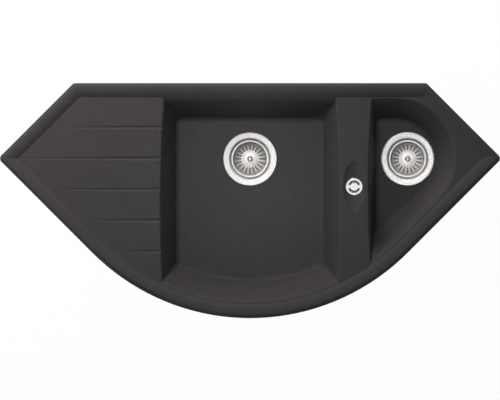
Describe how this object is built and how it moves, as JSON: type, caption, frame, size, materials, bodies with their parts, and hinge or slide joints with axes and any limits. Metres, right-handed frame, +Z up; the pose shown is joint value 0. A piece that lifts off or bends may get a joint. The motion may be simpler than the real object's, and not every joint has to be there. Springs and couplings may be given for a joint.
{
  "type": "corner kitchen sink",
  "caption": "Corner sink in dark stone composite with a drainer, a deep main bowl, a small round-ended bowl, lift-out strainers, an overflow, waste pipework and turning clips.",
  "frame": {"origin": "middle of the back edge, on the worktop under the rim", "axes": "+X to the right along the back edge, +Y towards the wall corner behind, +Z up"},
  "size_m": [1.057, 0.497, 0.3825],
  "materials": {
    "sink": "matt, fine speckle, granite composite",
    "steel": "satin stainless steel",
    "cover": "polished",
    "screws": "zinc plated steel",
    "inserts": "plain",
    "claws": "zinc plated pressed steel",
    "seals": "matt black rubber",
    "nuts": "satin white polypropylene",
    "pipes": "satin white polypropylene"
  },
  "bodies": {
    "sink": {"clip_inserts": "inserts", "clip_screws": "screws", "link_nut_left": "nuts", "link_nut_right": "nuts", "link_pipe": "pipes", "link_seal_left": "seals", "link_seal_right": "seals", "main_body_gasket": "seals", "main_clamp_screw": "screws", "main_flange_gasket": "seals", "main_tee": "pipes", "main_union_nut": "nuts", "main_union_washer": "seals", "main_waste_body": "pipes", "main_waste_flange": "steel", "overflow_cover": "cover", "overflow_nut_bottom": "nuts", "overflow_nut_top": "nuts", "overflow_pipe": "pipes", "overflow_seal": "seals", "overflow_tail": "pipes", "overflow_washer_bottom": "seals", "overflow_washer_top": "seals", "sink_body": "sink", "small_body_gasket": "seals", "small_clamp_screw": "screws", "small_elbow": "pipes", "small_flange_gasket": "seals", "small_union_nut": "nuts", "small_union_washer": "seals", "small_waste_body": "pipes", "small_waste_flange": "steel"},
    "main_strainer": {"main_basket_knob": "steel", "main_stopper": "seals"},
    "main_cup": {"main_basket_cup": "steel"},
    "small_strainer": {"small_basket_knob": "steel", "small_stopper": "seals"},
    "small_cup": {"small_basket_cup": "steel"},
    "claw_1": {"clip_claw_1": "claws"},
    "claw_2": {"clip_claw_2": "claws"},
    "claw_3": {"clip_claw_3": "claws"},
    "claw_4": {"clip_claw_4": "claws"},
    "claw_5": {"clip_claw_5": "claws"},
    "claw_6": {"clip_claw_6": "claws"},
    "claw_7": {"clip_claw_7": "claws"},
    "claw_8": {"clip_claw_8": "claws"},
    "claw_9": {"clip_claw_9": "claws"}
  },
  "joints": [
    {"name": "main_strainer_lift", "type": "slide", "parent": "sink", "child": "main_strainer", "axis": [0, 0, 1], "range_m": [0, 0.23]},
    {"name": "main_cup_turn", "type": "hinge", "parent": "main_strainer", "child": "main_cup", "pos_m": [0, -0.1594, -0.1965], "axis": [0, 0, 1], "continuous": true},
    {"name": "small_strainer_lift", "type": "slide", "parent": "sink", "child": "small_strainer", "axis": [0, 0, 1], "range_m": [0, 0.17]},
    {"name": "small_cup_turn", "type": "hinge", "parent": "small_strainer", "child": "small_cup", "pos_m": [0.335, -0.1594, -0.1365], "axis": [0, 0, 1], "continuous": true},
    {"name": "claw_1_turn", "type": "hinge", "parent": "sink", "child": "claw_1", "pos_m": [-0.278, -0.024, -0.042], "axis": [0, 0, 1], "range_deg": [0, 90]},
    {"name": "claw_2_turn", "type": "hinge", "parent": "sink", "child": "claw_2", "pos_m": [-0.03, -0.024, -0.042], "axis": [0, 0, 1], "range_deg": [0, 90]},
    {"name": "claw_3_turn", "type": "hinge", "parent": "sink", "child": "claw_3", "pos_m": [0.22025, -0.024, -0.042], "axis": [0, 0, 1], "range_deg": [0, 90]},
    {"name": "claw_4_turn", "type": "hinge", "parent": "sink", "child": "claw_4", "pos_m": [0.41879, -0.07973, -0.042], "axis": [0, 0, 1], "range_deg": [0, 90]},
    {"name": "claw_5_turn", "type": "hinge", "parent": "sink", "child": "claw_5", "pos_m": [0.47306, -0.18491, -0.042], "axis": [0, 0, 1], "range_deg": [0, 90]},
    {"name": "claw_6_turn", "type": "hinge", "parent": "sink", "child": "claw_6", "pos_m": [0.22025, -0.41497, -0.042], "axis": [0, 0, 1], "range_deg": [0, 90]},
    {"name": "claw_7_turn", "type": "hinge", "parent": "sink", "child": "claw_7", "pos_m": [-0.2645, -0.38634, -0.042], "axis": [0, 0, 1], "range_deg": [0, 90]},
    {"name": "claw_8_turn", "type": "hinge", "parent": "sink", "child": "claw_8", "pos_m": [-0.41883, -0.23921, -0.042], "axis": [0, 0, 1], "range_deg": [0, 90]},
    {"name": "claw_9_turn", "type": "hinge", "parent": "sink", "child": "claw_9", "pos_m": [-0.41879, -0.07973, -0.042], "axis": [0, 0, 1], "range_deg": [0, 90]}
  ]
}
